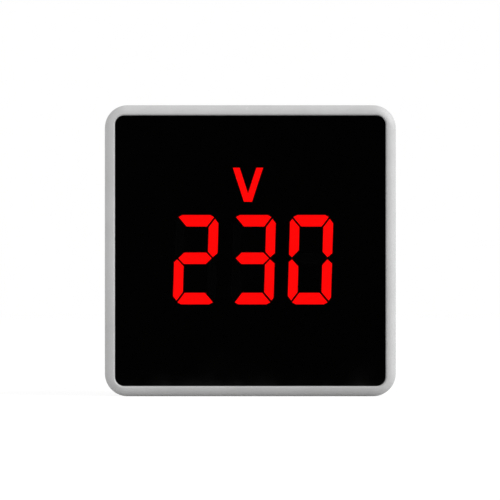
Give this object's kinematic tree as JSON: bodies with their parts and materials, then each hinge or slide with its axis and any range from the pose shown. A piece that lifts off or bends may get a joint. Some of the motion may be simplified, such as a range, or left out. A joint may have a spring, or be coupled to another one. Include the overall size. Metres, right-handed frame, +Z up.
{
  "type": "plug-in mains voltmeter",
  "caption": "Square plug-in mains voltmeter with a lit digital display in front and a round two-pin plug behind.",
  "frame": {"origin": "centre of the plug's end face, midway between the pins", "axes": "+Y along the pins into the outlet, +Z up as the digits read, +X to the right as seen from the front"},
  "size_m": [0.05, 0.059, 0.05],
  "materials": {
    "case_plastic": "fine satin moulding",
    "black_face": "smooth black",
    "lit_segment": "red diffusing resin, lit",
    "dark_segment": "smoked resin, unlit",
    "white_plastic": "satin",
    "foam_tape": "matt",
    "circuit_board": "solder mask",
    "lamp_resin": "clear over yellow",
    "black_resin": "moulded epoxy",
    "yellow_plastic": "smooth",
    "capacitor_can": "dark sleeve",
    "blue_enamel": "dipped",
    "green_enamel": "flameproof coat",
    "diode_glass": "smooth",
    "gold_brass": "plated",
    "nickel_brass": "bright nickel plate",
    "screw_steel": "zinc plated",
    "brown_insulation": "smooth",
    "blue_insulation": "smooth"
  },
  "bodies": {
    "root": {"front_case": "case_plastic", "rear_case": "case_plastic", "case_screws": "screw_steel", "face_tape": "foam_tape", "display_face": "black_face", "hundreds_segments": "lit_segment", "tens_segments": "lit_segment", "units_segments": "lit_segment", "dark_segments": "dark_segment", "unit_sign": "lit_segment", "reflector": "white_plastic", "display_board": "circuit_board", "lamp_chips": "lamp_resin", "driver_chip": "black_resin", "chip_resistors": "black_resin", "header_strip": "black_resin", "header_pins": "gold_brass", "power_board": "circuit_board", "board_screws": "screw_steel", "film_capacitor": "yellow_plastic", "smoothing_capacitor": "capacitor_can", "bridge_rectifier": "black_resin", "varistor": "blue_enamel", "fuse_resistor": "green_enamel", "zener_diode": "diode_glass", "plug_body": "case_plastic", "left_pin": "nickel_brass", "right_pin": "nickel_brass", "pin_retainer": "white_plastic", "retainer_screw": "screw_steel", "left_wire": "brown_insulation", "right_wire": "blue_insulation"}
  },
  "joints": []
}
